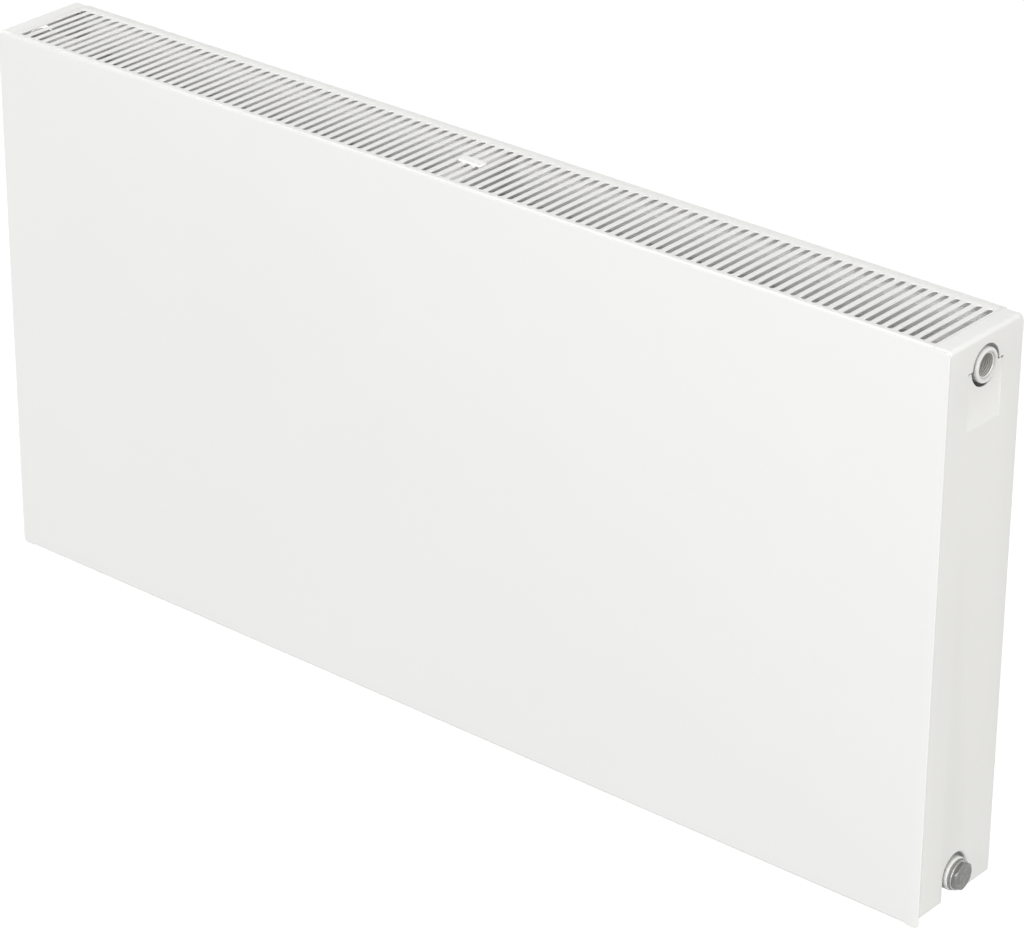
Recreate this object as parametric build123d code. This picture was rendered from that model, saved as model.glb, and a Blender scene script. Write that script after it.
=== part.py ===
"""Flat-fronted steel panel radiator, two water panels with two rows of convector fins.

Units are millimetres.  X runs along the radiator, the flat front faces -Y, the wall is on +Y and +Z is up.
The origin is at mid length and mid depth (wall lugs included), level with the front plate's bottom edge.
"""
from build123d import *
import math
import os

os.makedirs("parts", exist_ok=True)

# ---------------------------------------------------------------- driving dimensions
# Whole radiator
length = 1000.0                  # outside of one side cover to outside of the other
height = 500.0                   # bottom of the front plate to the top of the grille
depth = 99.0                     # front plate face to the rear edge of the side covers
port_low = 29.0                  # lower tapping axis above the bottom edge
port_drop = 27.0                 # upper tapping axis below the top of the grille

# Clearances
fit_gap = 0.3                    # between a lift-off or pull-off piece and what it sits against
lip_gap = 0.2                    # under the grille's lips
thread_gap = 0.05                # radial, plug spigot in its port
swivel_gap = 0.08                # radial, vent ring on its neck and vent screw in its hole
cut_margin = 1.0                 # how far a cutting block runs past what it cuts

# Front plate
plate_sheet = 1.2
plate_top_drop = 1.0             # plate's top edge below the grille's face
plate_corner_radius = 5.0
plate_edge_bevel = 0.5
plate_fold_radius = 3.0          # outside of the folded bottom edge
plate_return = 9.0               # folded bottom edge, front to back
plate_return_inset = 12.0        # the fold stops this far short of each end
adhesive_thickness = 1.3
adhesive_width = 9.0
adhesive_strip_count = 8         # shared out evenly over the channels
adhesive_end_margin = 14.0

# Water panels: two pressed sheets welded back to back
panel_sheet = 1.2
press_depth = 5.3                # inside height of one half of a waterway
press_draft = 20.0               # degrees
channel_pitch = 40.0
channel_width = 26.0             # inside, on the weld plane
header_width = 27.0              # inside, on the weld plane
header_end_bevel = 6.0           # corners of the hollow, on the weld plane
seam_width = 4.0                 # flat weld seam outside the headers
panel_end_inset = 7.0            # panel's end behind the outside of the side cover
rear_panel_inset = 4.5           # rear panel's wall-side crests in front of the cover's rear edge

# Convector fins: one folded channel on each waterway
fin_sheet = 0.5
fin_depth = 24.0
fin_base_width = 17.0
fin_tip_width = 22.0
fin_header_gap = 14.0            # fin end to the header's edge

# Connection tees
port_radius = 10.45
port_depth = 18.0
socket_radius = 14.2
socket_projection = 1.5          # socket face outside the side cover
branch_inset = 42.0              # cross branch axis behind the outside of the side cover
branch_radius = 12.0
waterway_width = 14.0            # square, inside the tee

# Side covers
cover_sheet = 0.8
cover_bottom = 8.7
cover_flange = 15.5              # folded edges, measured from the outside of the cover
cover_edge_radius = 4.0          # folds between the side and the flanges
cover_corner_radius = 9.0        # top rear corner, seen from the side
cover_hole_radius = 17.3
cover_notch_radius = 15.8
cover_notch_rise = 2.0           # notch centre above the tapping axis
cover_notch_corner = 3.0
knockout_width = 44.0
knockout_height = 49.0
knockout_depth = 1.8
knockout_draft = 40.0            # degrees
tab_reach = 22.0                 # retaining tab beyond the front flange
tab_width = 30.0
tab_end_distance = 120.0         # tab centres from the bottom and from the top

# Top grille
grille_sheet = 1.0
grille_fold_radius = 1.4
grille_rear_inset = 2.5          # grille's rear face in front of the cover's rear edge
grille_step_from_rear = 8.5      # where the rear rail steps down
grille_step = 0.8
grille_lip_overlap = 2.0         # lip past the inner side of the seam it rests on
slot_pitch = 9.955
slot_width = 5.4
slot_length = 77.1
slot_from_front = 6.4
slot_end_margin = 1.9            # last slot to the right end of the grille

# Strap and clip that hold the grille at mid length
strap_sheet = 1.5
strap_width = 22.0
strap_below_grille = 5.0
strap_leg = 7.0
strap_hole_x = 16.0
strap_hole_y = 12.0
strap_notch_gap = 2.0            # grille lips are notched this far clear of the strap
clip_head_x = 24.0
clip_head_y = 9.5
clip_head_thickness = 2.0
clip_leg_y = 4.5
clip_leg_below_strap = 5.0
clip_forward = 4.0               # clip head in front of mid depth
clip_corner = 1.6

# Plugs
seal_radius = 13.2
seal_thickness = 1.5
plug_flange_radius = 12.8
plug_flange_thickness = 2.0
plug_hex = 22.0                  # across flats
plug_hex_height = 3.5
plug_chamfer = 0.7
spigot_length = 12.0
vent_flange_thickness = 1.3
vent_neck_radius = 6.5
vent_rim_radius = 7.4
vent_rim_thickness = 0.8
vent_ring_radius = 10.0
vent_spout_width = 3.0
vent_spout_reach = 14.5
vent_screw_radius = 2.5
vent_well_radius = 4.6
vent_well_depth = 3.0
vent_square = 5.0
vent_square_recess = 0.3

# Wall lugs: bridges from one channel crest to the next
lug_sheet = 2.0
lug_height = 30.0
lug_loop = 6.0                   # free depth behind the bridge
lug_bridge = 26.0
lug_foot = 14.0
lug_inset = 100.0                # wanted lug centre behind the outside of the cover; the nearest gap is used
lug_from_header = 34.0           # lug centre to the header's edge

# ---------------------------------------------------------------- places worked out from them
half_length = length / 2
lug_projection = lug_sheet + lug_loop - rear_panel_inset
front_y = -(depth + lug_projection) / 2
rear_y = front_y + depth
port_levels = {"bottom": port_low, "top": height - port_drop}
port_spacing = port_levels["top"] - port_levels["bottom"]

panel_half = press_depth + panel_sheet
front_panel_y = front_y + plate_sheet + adhesive_thickness + panel_half
rear_panel_y = rear_y - rear_panel_inset - panel_half
port_y = (front_panel_y + rear_panel_y) / 2

wall_spread = panel_sheet / math.cos(math.radians(press_draft))
panel_half_length = half_length - panel_end_inset
header_outer_half = header_width / 2 + wall_spread
panel_bottom = port_low - header_outer_half - seam_width
panel_top = height - port_drop + header_outer_half + seam_width
waterway_span = 2 * (panel_half_length - seam_width - wall_spread)
channel_count = int((waterway_span - channel_width) // channel_pitch) + 1
channel_xs = [(i - (channel_count - 1) / 2) * channel_pitch for i in range(channel_count)]
header_length = (channel_count - 1) * channel_pitch + channel_width
channel_bottom = port_low + header_width / 2
channel_top = height - port_drop - header_width / 2
panel_mid_z = (panel_bottom + panel_top) / 2

socket_face = half_length + socket_projection
branch_x = half_length - branch_inset
seal_face = socket_face + seal_thickness

cover_front_y = front_y + plate_sheet + fit_gap
grille_half_length = half_length - cover_flange - fit_gap
grille_front_y = front_y + plate_sheet + fit_gap
grille_rear_y = rear_y - grille_rear_inset
last_slot_x = grille_half_length - slot_end_margin - slot_width / 2
slot_count = int((last_slot_x + grille_half_length - slot_width) // slot_pitch) + 1
slot_xs = [last_slot_x - i * slot_pitch for i in range(slot_count)]
clip_x = min(slot_xs, key=abs)
strap_top = height - strap_below_grille

SIDES = {"left": -1, "right": 1}


# ---------------------------------------------------------------- helpers
def box_between(x0, x1, y0, y1, z0, z1):
    """A box from its two opposite corners."""
    return Pos((x0 + x1) / 2, (y0 + y1) / 2, (z0 + z1) / 2) * Box(x1 - x0, y1 - y0, z1 - z0)


def rod_x(radius, x0, x1, y=0.0, z=0.0):
    """A round bar along X."""
    return Pos((x0 + x1) / 2, y, z) * Rot(0, 90, 0) * Cylinder(radius, x1 - x0)


def rod_y(radius, y0, y1, x=0.0, z=0.0):
    """A round bar along Y."""
    return Pos(x, (y0 + y1) / 2, z) * Rot(90, 0, 0) * Cylinder(radius, y1 - y0)


def folded_sheet(path_points, thickness, fold_radius, side):
    """Face of a sheet folded along a path, which is one of its two skins; radius 0 leaves the folds sharp."""
    path = FilletPolyline(*path_points, radius=fold_radius) if fold_radius else Polyline(*path_points)
    return make_face(offset(path, amount=thickness, side=side, kind=Kind.INTERSECTION))


def on_side(solid, side):
    """A solid modelled for the right end, mirrored when it belongs at the left end."""
    if SIDES[side] < 0:
        return mirror(solid, about=Plane.YZ)
    return solid


def save(name, solid):
    """Write one named sub-part."""
    solid.label = name
    export_step(solid, f"parts/{name}.step")


# ---------------------------------------------------------------- front plate and its adhesive
def front_cover_plate():
    """Flat sheet with rounded corners; its bottom edge is folded back for stiffness."""
    top = height - plate_top_drop
    outline = Pos(0, 0, top / 2) * Rot(90, 0, 0) * RectangleRounded(length, top, plate_corner_radius)
    plate = Pos(0, front_y, 0) * extrude(outline, amount=plate_sheet, dir=(0, 1, 0))
    front_rim = plate.faces().sort_by(Axis.Y)[0].edges()
    plate = chamfer(front_rim, plate_edge_bevel)
    return_half = half_length - plate_return_inset
    fold_top = 2 * plate_fold_radius
    plate -= box_between(-return_half, return_half, front_y - cut_margin, rear_y, -cut_margin, fold_top)
    skin = [(front_y, fold_top), (front_y, 0), (front_y + plate_return, 0)]
    section = Plane.YZ * folded_sheet(skin, plate_sheet, plate_fold_radius, Side.LEFT)
    fold = Pos(-return_half, 0, 0) * extrude(section, amount=2 * return_half, dir=(1, 0, 0))
    return plate + fold


def bonding_strips():
    """Strips of elastic adhesive between the plate and the crests of the front panel's channels."""
    y0 = front_y + plate_sheet
    z0 = channel_bottom + adhesive_end_margin
    z1 = channel_top - adhesive_end_margin
    every = channel_count // adhesive_strip_count
    strips = [
        box_between(x - adhesive_width / 2, x + adhesive_width / 2, y0, y0 + adhesive_thickness, z0, z1)
        for x in channel_xs[every // 2 :: every]
    ]
    return Compound(children=strips)


# ---------------------------------------------------------------- water panels
def ladder(grow, rise):
    """Two headers joined by the vertical channels, drafted, standing on the weld plane towards +Y."""
    weld_plane = Plane(origin=(0, 0, panel_mid_z), x_dir=(1, 0, 0), z_dir=(0, 1, 0))
    outline = Rectangle(header_length + 2 * grow, port_spacing + header_width + 2 * grow)
    outline = chamfer(outline.vertices(), header_end_bevel + grow * math.tan(math.radians(45 / 2)))
    body = extrude(weld_plane * outline, amount=rise, taper=press_draft)
    cut_height = rise + cut_margin
    spread = cut_height * math.tan(math.radians(press_draft))
    width = channel_pitch - channel_width - 2 * grow + 2 * spread
    run = channel_top - channel_bottom - 2 * grow + 2 * spread
    window = Wedge(width, cut_height, run, spread, spread, width - spread, run - spread)
    window = Pos(0, cut_height / 2, panel_mid_z) * Rot(180, 0, 0) * window
    windows = [Pos(x + channel_pitch / 2, 0, 0) * window for x in channel_xs[:-1]]
    return body - windows


def pressed_sheet():
    """One half of a water panel: flat seam and weld strips, hollow headers and channels rising to +Y."""
    plate = box_between(-panel_half_length, panel_half_length, 0, panel_sheet, panel_bottom, panel_top)
    return plate + ladder(wall_spread, panel_half) - ladder(0, press_depth)


def with_branch_holes(sheet):
    """Cut the four openings where the tees' cross branches join the headers."""
    half = waterway_width / 2
    y0 = press_depth - cut_margin
    y1 = panel_half + cut_margin
    places = [(sign * branch_x, z) for sign in SIDES.values() for z in port_levels.values()]
    return sheet - [box_between(x - half, x + half, y0, y1, z - half, z + half) for x, z in places]


def fin_row():
    """One folded fin on every channel; the bases lie on the plane Y = 0 and the legs point to +Y."""
    outer = [
        (-fin_tip_width / 2, fin_depth),
        (-fin_base_width / 2, 0),
        (fin_base_width / 2, 0),
        (fin_tip_width / 2, fin_depth),
    ]
    lean = fin_sheet / math.cos(math.atan2((fin_tip_width - fin_base_width) / 2, fin_depth))
    slope = (fin_tip_width - fin_base_width) / 2 / fin_depth
    inner_base = fin_base_width / 2 - lean + slope * fin_sheet
    inner = [
        (fin_tip_width / 2 - lean, fin_depth),
        (inner_base, fin_sheet),
        (-inner_base, fin_sheet),
        (-fin_tip_width / 2 + lean, fin_depth),
    ]
    section = make_face(Polyline(*outer, *inner, close=True))
    bottom = channel_bottom + fin_header_gap
    fin = Pos(0, 0, bottom) * extrude(section, amount=channel_top - fin_header_gap - bottom)
    return Compound(children=[Pos(x, 0, 0) * fin for x in channel_xs])


# ---------------------------------------------------------------- connection tees
def tee(z):
    """Right-hand tee: threaded socket pointing out, cross branch from one panel to the other."""
    front = front_panel_y + panel_half
    rear = rear_panel_y - panel_half
    socket = rod_x(socket_radius, branch_x, socket_face, port_y, z)
    branch = rod_y(branch_radius, front, rear, branch_x, z)
    port = rod_x(port_radius, socket_face - port_depth, socket_face + cut_margin, port_y, z)
    half = waterway_width / 2
    passage_end = socket_face - port_depth + cut_margin
    passage = box_between(branch_x, passage_end, port_y - half, port_y + half, z - half, z + half)
    y0 = front - cut_margin
    y1 = rear + cut_margin
    waterway = box_between(branch_x - half, branch_x + half, y0, y1, z - half, z + half)
    return socket + branch - port - passage - waterway


# ---------------------------------------------------------------- side covers
def cover_block(inset, open_side):
    """The cover's outer form, shrunk by an inset on every closed side and grown on the open ones."""
    x0 = half_length - cover_flange - open_side
    x1 = half_length - inset
    y0 = cover_front_y + inset
    y1 = rear_y - inset
    z0 = cover_bottom - open_side
    z1 = height - inset
    radius = cover_corner_radius - inset
    edge = Polyline((y1, z1 - radius), (y1, z0), (y0, z0), (y0, z1), (y1 - radius, z1))
    arc = RadiusArc((y1 - radius, z1), (y1, z1 - radius), radius)
    section = Plane.YZ * make_face([*edge.edges(), arc])
    block = extrude(Pos(x0, 0, 0) * section, amount=x1 - x0, dir=(1, 0, 0))
    outer_face = block.faces().sort_by(Axis.X)[-1]
    rim = [e for e in outer_face.edges() if e.center().Y > y0 + radius / 2 and e.center().Z > z0 + radius / 2]
    if inset:
        # A flat inside the rounded fold keeps the sheet's thickness at the middle of the fold.
        flat = (math.sqrt(2) - 1) * (cover_edge_radius - inset) * math.sqrt(2)
        return chamfer(rim, flat)
    return fillet(rim, cover_edge_radius)


def knockout(depth_inward, grow):
    """Drafted block from the cover's face inwards, cut off level with the top tapping."""
    top = port_levels["top"]
    face_plane = Plane(origin=(half_length, port_y, top), x_dir=(0, 1, 0), z_dir=(-1, 0, 0))
    outline = Rectangle(knockout_width + 2 * grow, 2 * (knockout_height + grow))
    block = extrude(face_plane * outline, amount=depth_inward, taper=knockout_draft)
    above = box_between(0, length, rear_y - 2 * depth, rear_y + depth, top, height + depth)
    return block - above


def side_cover():
    """Right-hand cover: a tray with folded top, front and rear edges, a port hole and an open notch."""
    cover = cover_block(0, 0) - cover_block(cover_sheet, cut_margin)
    wall = cover_sheet / math.cos(math.radians(knockout_draft))
    cover = cover + knockout(knockout_depth + cover_sheet, wall) - knockout(knockout_depth, 0)
    top = port_levels["top"]
    hole = rod_x(cover_hole_radius, half_length - cover_flange, half_length + cut_margin, port_y, top)
    notch_z = port_levels["bottom"] + cover_notch_rise
    notch_outline = Pos(port_y, notch_z) * Circle(cover_notch_radius)
    notch_outline += Pos(port_y, notch_z / 2) * Rectangle(2 * cover_notch_radius, notch_z)
    notch = extrude(Plane.YZ * notch_outline, amount=length)
    cover = cover - hole - notch
    bottom_edges = [e for e in cover.edges().filter_by(Axis.X) if abs(e.center().Z - cover_bottom) < 0.01]
    notch_corners = [e for e in bottom_edges if abs(abs(e.center().Y - port_y) - cover_notch_radius) < 0.01]
    cover = fillet(notch_corners, cover_notch_corner)
    tabs = [
        box_between(
            half_length - cover_flange - tab_reach,
            half_length - cover_flange,
            cover_front_y,
            cover_front_y + cover_sheet,
            z - tab_width / 2,
            z + tab_width / 2,
        )
        for z in (tab_end_distance, height - tab_end_distance)
    ]
    return cover + tabs


# ---------------------------------------------------------------- top grille, its strap and clip
def top_grille():
    """Stamped grille: slotted top with folded front and rear flanges whose lips rest on the panel seams."""
    lip_z = panel_top + lip_gap
    step_y = grille_rear_y + grille_rear_inset - grille_step_from_rear - grille_step
    low_top = height - grille_step
    front_lip_end = front_panel_y + panel_sheet + grille_lip_overlap
    rear_lip_end = rear_panel_y - panel_sheet - grille_lip_overlap
    skin = [
        (front_lip_end, lip_z),
        (grille_front_y, lip_z),
        (grille_front_y, height),
        (step_y, height),
        (step_y + 2 * grille_step, low_top),
        (grille_rear_y, low_top),
        (grille_rear_y, lip_z),
        (rear_lip_end, lip_z),
    ]
    section = Plane.YZ * folded_sheet(skin, grille_sheet, grille_fold_radius, Side.RIGHT)
    grille = Pos(-grille_half_length, 0, 0) * extrude(section, amount=2 * grille_half_length, dir=(1, 0, 0))
    slot_y = front_y + slot_from_front
    slots = [
        box_between(
            x - slot_width / 2,
            x + slot_width / 2,
            slot_y,
            slot_y + slot_length,
            height - 2 * grille_sheet,
            height + grille_sheet,
        )
        for x in slot_xs
    ]
    notch_half = strap_width / 2 + strap_notch_gap
    lip_notch = box_between(
        clip_x - notch_half,
        clip_x + notch_half,
        grille_front_y + grille_sheet,
        grille_rear_y - grille_sheet,
        lip_z - cut_margin,
        lip_z + grille_sheet + cut_margin,
    )
    return grille - slots - lip_notch


def grille_strap():
    """Folded strap across both panels; its legs are welded to the outer sides of the top seams."""
    y0 = front_panel_y - panel_sheet - strap_sheet
    y1 = rear_panel_y + panel_sheet + strap_sheet
    skin = [(y0, strap_top - strap_leg), (y0, strap_top), (y1, strap_top), (y1, strap_top - strap_leg)]
    section = Plane.YZ * folded_sheet(skin, strap_sheet, 0, Side.RIGHT)
    strap = Pos(clip_x - strap_width / 2, 0, 0) * extrude(section, amount=strap_width, dir=(1, 0, 0))
    hole = Pos(clip_x, port_y, strap_top) * Box(strap_hole_x, strap_hole_y, 4 * strap_sheet)
    return strap - hole


def grille_clip():
    """Moulded clip: a flat head over the grille's bars and a leg through one slot into the strap's hole."""
    head_y = port_y - clip_forward
    outline = Rectangle(clip_head_x, clip_head_y)
    outline = chamfer(outline.vertices(), clip_corner)
    head = Pos(clip_x, head_y, height) * extrude(outline, amount=clip_head_thickness)
    head = chamfer(head.faces().sort_by(Axis.Z)[-1].edges(), clip_head_thickness / 4)
    leg_y1 = head_y + clip_head_y / 2
    leg_bottom = strap_top - strap_sheet - clip_leg_below_strap
    leg_half = slot_width / 2 - fit_gap
    leg = box_between(clip_x - leg_half, clip_x + leg_half, leg_y1 - clip_leg_y, leg_y1, leg_bottom, height)
    leg = chamfer(leg.faces().sort_by(Axis.Z)[0].edges(), clip_leg_y / 5)
    return head + leg


# ---------------------------------------------------------------- plugs
def seal(z):
    """Flat ring between the socket's face and a plug's flange."""
    ring = rod_x(seal_radius, socket_face, seal_face, port_y, z)
    return ring - rod_x(port_radius, socket_face - cut_margin, seal_face + cut_margin, port_y, z)


def spigot(z):
    """The plug's screwed end, a plain bar inside the port and through the seal."""
    return rod_x(port_radius - thread_gap, socket_face - spigot_length, seal_face, port_y, z)


def blanking_plug(z):
    """Plug with a round flange and a hexagon head with a bevelled end."""
    flange_end = seal_face + plug_flange_thickness
    head_end = flange_end + plug_hex_height
    flange = rod_x(plug_flange_radius, seal_face, flange_end, port_y, z)
    hexagon = RegularPolygon(plug_hex / 2, 6, major_radius=False, rotation=30)
    head_plane = Plane(origin=(flange_end, port_y, z), x_dir=(0, 1, 0), z_dir=(1, 0, 0))
    head = extrude(head_plane * hexagon, amount=plug_hex_height)
    head = chamfer(head.faces().sort_by(Axis.X)[-1].edges(), plug_chamfer)
    return spigot(z) + flange + head


vent_end = seal_face + plug_flange_thickness + plug_hex_height
vent_neck_start = seal_face + vent_flange_thickness


def vent_plug_body(z):
    """Plug with a neck for the outlet ring and a well for the vent screw."""
    hexagon = RegularPolygon(plug_hex / 2, 6, major_radius=False, rotation=30)
    flange_plane = Plane(origin=(seal_face, port_y, z), x_dir=(0, 1, 0), z_dir=(1, 0, 0))
    flange = extrude(flange_plane * hexagon, amount=vent_flange_thickness)
    neck = rod_x(vent_neck_radius, seal_face, vent_end, port_y, z)
    rim = rod_x(vent_rim_radius, vent_end - vent_rim_thickness, vent_end, port_y, z)
    well = rod_x(vent_well_radius, vent_end - vent_well_depth, vent_end + cut_margin, port_y, z)
    hole_start = socket_face - spigot_length - cut_margin
    screw_hole = rod_x(vent_screw_radius + swivel_gap, hole_start, vent_end, port_y, z)
    return spigot(z) + flange + neck + rim - well - screw_hole


def vent_nozzle(z):
    """Ring that turns on the plug's neck, with a short spout for the escaping air and water."""
    x0 = vent_neck_start + fit_gap
    x1 = vent_end - vent_rim_thickness - fit_gap
    ring = rod_x(vent_ring_radius, x0, x1, port_y, z)
    half = vent_spout_width / 2
    middle = (x0 + x1) / 2
    spout = box_between(middle - half, middle + half, port_y - half, port_y + half, z - vent_spout_reach, z)
    bore = rod_x(vent_neck_radius + swivel_gap, x0 - cut_margin, x1 + cut_margin, port_y, z)
    return ring + spout - bore


def vent_screw(z):
    """Vent screw with the square end that the radiator key turns."""
    shoulder = vent_end - vent_well_depth
    shank = rod_x(vent_screw_radius, socket_face - spigot_length, shoulder, port_y, z)
    square = box_between(
        shoulder,
        vent_end - vent_square_recess,
        port_y - vent_square / 2,
        port_y + vent_square / 2,
        z - vent_square / 2,
        z + vent_square / 2,
    )
    return shank + square


# ---------------------------------------------------------------- wall lugs
def wall_lug():
    """Bridge lug, middle at X = 0 and Z = 0, feet on the plane Y = 0; a bracket's hook passes behind it."""
    foot_end = channel_pitch / 2 + lug_foot / 2
    ramp_start = channel_pitch / 2 - lug_foot / 2
    skin = [
        (-foot_end, 0),
        (-ramp_start, 0),
        (-lug_bridge / 2 + lug_sheet, lug_loop),
        (lug_bridge / 2 - lug_sheet, lug_loop),
        (ramp_start, 0),
        (foot_end, 0),
    ]
    section = folded_sheet(skin, lug_sheet, 0, Side.LEFT)
    return Pos(0, 0, -lug_height / 2) * extrude(section, amount=lug_height)


gap_xs = [x + channel_pitch / 2 for x in channel_xs[:-1]]
lug_x = min(gap_xs, key=lambda x: abs(x - (half_length - lug_inset)))
lug_levels = (channel_bottom + lug_from_header, channel_top - lug_from_header)

# ---------------------------------------------------------------- build and save every sub-part
save("front_cover_plate", front_cover_plate())
save("bonding_strips", bonding_strips())

plain_sheet = pressed_sheet()
holed_sheet = with_branch_holes(plain_sheet)
save("front_panel_outer_sheet", Pos(0, front_panel_y, 0) * mirror(plain_sheet, about=Plane.XZ))
save("front_panel_inner_sheet", Pos(0, front_panel_y, 0) * holed_sheet)
save("rear_panel_inner_sheet", Pos(0, rear_panel_y, 0) * mirror(holed_sheet, about=Plane.XZ))
save("rear_panel_outer_sheet", Pos(0, rear_panel_y, 0) * plain_sheet)

fins = fin_row()
save("front_convector", Pos(0, front_panel_y + panel_half, 0) * fins)
save("rear_convector", Pos(0, rear_panel_y - panel_half, 0) * mirror(fins, about=Plane.XZ))

tees = [on_side(tee(port_z), side) for port_z in port_levels.values() for side in SIDES]
save("connection_tees", Compound(children=tees))

for side in SIDES:
    save(f"{side}_side_cover", on_side(side_cover(), side))

save("top_grille", top_grille())
save("grille_strap", grille_strap())
save("grille_clip", grille_clip())

seals = [on_side(seal(port_levels["bottom"]), "right"), on_side(seal(port_levels["top"]), "left")]
save("plug_seals", Compound(children=seals))
save("blanking_plug", on_side(blanking_plug(port_levels["bottom"]), "right"))
save("vent_plug_body", on_side(vent_plug_body(port_levels["top"]), "left"))
save("vent_nozzle", on_side(vent_nozzle(port_levels["top"]), "left"))
save("vent_screw", on_side(vent_screw(port_levels["top"]), "left"))

lug = wall_lug()
lug_places = [(sign * lug_x, rear_panel_y + panel_half, z) for z in lug_levels for sign in SIDES.values()]
save("wall_lugs", Compound(children=[Pos(*place) * lug for place in lug_places]))
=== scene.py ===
"""Looks of the flat-fronted panel radiator, built up in the order in which the real one is put together."""

import math

import bmesh
import bpy
from mathutils import Matrix, Vector


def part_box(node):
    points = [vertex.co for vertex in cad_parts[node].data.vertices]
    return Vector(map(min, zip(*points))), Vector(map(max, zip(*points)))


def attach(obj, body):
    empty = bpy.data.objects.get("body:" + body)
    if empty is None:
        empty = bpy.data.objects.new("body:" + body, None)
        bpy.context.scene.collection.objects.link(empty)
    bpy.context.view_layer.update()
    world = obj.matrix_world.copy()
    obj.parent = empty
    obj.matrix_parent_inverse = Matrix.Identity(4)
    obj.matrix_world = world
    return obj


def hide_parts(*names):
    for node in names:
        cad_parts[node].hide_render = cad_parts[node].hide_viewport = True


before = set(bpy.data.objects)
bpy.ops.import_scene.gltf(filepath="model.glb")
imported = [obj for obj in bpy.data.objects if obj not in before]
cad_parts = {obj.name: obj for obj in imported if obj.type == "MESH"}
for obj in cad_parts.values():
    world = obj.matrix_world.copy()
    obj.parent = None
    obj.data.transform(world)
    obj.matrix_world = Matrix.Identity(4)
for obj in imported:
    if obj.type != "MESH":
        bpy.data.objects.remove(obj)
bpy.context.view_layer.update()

# ---------------- water panels
# Two panels, each of two pressed sheets of steel, welded along the seams and between the channels. After the
# pressure test they are primed, sprayed with white powder and stoved, so paint softens every fold.
sheet_thickness = 0.0012
panel_press = 0.0065  # weld plane to the channels' crests
crest_round = 0.0030
foot_round = 0.0022
weld_pitch = 0.040  # between channels, along X
weld_rise = 0.0365  # between spot welds, along Z
weld_radius = 0.0027
weld_depth = 0.0004
peel_depth = 0.000025  # relief of the stoved powder
patch_size = 0.12  # of the patches where the coat is thinner
panel_white = (0.955, 0.955, 0.935, 1)
panel_thin_white = (0.92, 0.92, 0.895, 1)


def clear_selection():
    """The operators act on all that is selected, so nothing stays selected between pieces."""
    if bpy.context.object is not None and bpy.context.object.mode != "OBJECT":
        bpy.ops.object.mode_set(mode="OBJECT")
    bpy.ops.object.select_all(action="DESELECT")


def take_up(piece):
    """Make one piece the only selected one."""
    clear_selection()
    piece.select_set(True)
    bpy.context.view_layer.objects.active = piece


def start_edit(piece):
    """Open one piece in edit mode with nothing picked."""
    take_up(piece)
    bpy.ops.object.mode_set(mode="EDIT")
    bpy.ops.mesh.select_mode(type="FACE")
    bpy.ops.mesh.select_all(action="DESELECT")


def pick_all():
    """Pick the whole of the open piece."""
    bpy.ops.mesh.select_all(action="SELECT")


def pick(kind, test):
    """Pick the faces, edges or points of the open piece that pass a test."""
    bpy.ops.mesh.select_mode(type=kind)
    bpy.ops.mesh.select_all(action="DESELECT")
    mesh = bpy.context.object.data
    shape = bmesh.from_edit_mesh(mesh)
    for part in {"FACE": shape.faces, "EDGE": shape.edges, "VERT": shape.verts}[kind]:
        if test(part):
            part.select_set(True)
    shape.select_flush_mode()
    bmesh.update_edit_mesh(mesh)


def end_edit(smooth_angle=35):
    """Back to object mode, smooth across everything gentler than the angle."""
    bpy.ops.object.mode_set(mode="OBJECT")
    bpy.ops.object.shade_smooth_by_angle(angle=math.radians(smooth_angle))
    clear_selection()


def round_edges(test, width, segments, clamp=False):
    """Round the edges of the open piece that pass a test."""
    pick("EDGE", test)
    bpy.ops.mesh.bevel(offset=width, segments=segments, affect="EDGES", clamp_overlap=clamp)


def near(value, target, within=0.00001):
    """Equal to a hundredth of a millimetre, or to what is given."""
    return abs(value - target) < within


def lies_at(part, axis, value, within=0.00001):
    """Whether all points of an edge or a face have this x, y or z."""
    return all(near(getattr(point.co, axis), value, within) for point in part.verts)


def fold_angle(edge):
    """Degrees by which the surface turns at an edge, 0 at an open edge."""
    return math.degrees(edge.calc_face_angle(0))


def new_object(name, data):
    """An object with this data, put into the scene."""
    thing = bpy.data.objects.new(name, data)
    bpy.context.scene.collection.objects.link(thing)
    return thing


def cad_copy(name, node):
    """A separate mesh on a CAD node's form, with its triangles joined to whole faces to be worked on."""
    piece = new_object(name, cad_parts[node].data.copy())
    start_edit(piece)
    pick_all()
    bpy.ops.mesh.remove_doubles(threshold=0.00001)
    bpy.ops.mesh.dissolve_limited(angle_limit=math.radians(2))
    end_edit()
    return piece


def finish_piece(piece, material, *nodes, body="radiator_body", slot="white_paint"):
    """Give a piece its material and its body, and let it stand for its CAD nodes. The slot is not used."""
    piece.data.materials.clear()
    piece.data.materials.append(material)
    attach(piece, body)
    if nodes:
        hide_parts(*nodes)


def feed(source, socket):
    """Link a socket to a source, or set it to a plain value."""
    if isinstance(source, bpy.types.NodeSocket):
        socket.id_data.links.new(source, socket)
    else:
        socket.default_value = source


def set_inputs(node, **values):
    """Feed a node's sockets by name, with an underscore for each space."""
    for label, value in values.items():
        feed(value, node.inputs[label.replace("_", " ")])


def new_group(name, inputs, outputs):
    """An empty shader group with named sockets, each a colour or a number like its value."""
    group = bpy.data.node_groups.new(name, "ShaderNodeTree")
    for in_out, sockets in (("INPUT", inputs), ("OUTPUT", outputs)):
        for label, value in sockets.items():
            kind = "NodeSocketFloat" if isinstance(value, float) else "NodeSocketColor"
            socket = group.interface.new_socket(name=label, in_out=in_out, socket_type=kind)
            socket.default_value = value
    return group, group.nodes.new("NodeGroupInput").outputs, group.nodes.new("NodeGroupOutput").inputs


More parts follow.
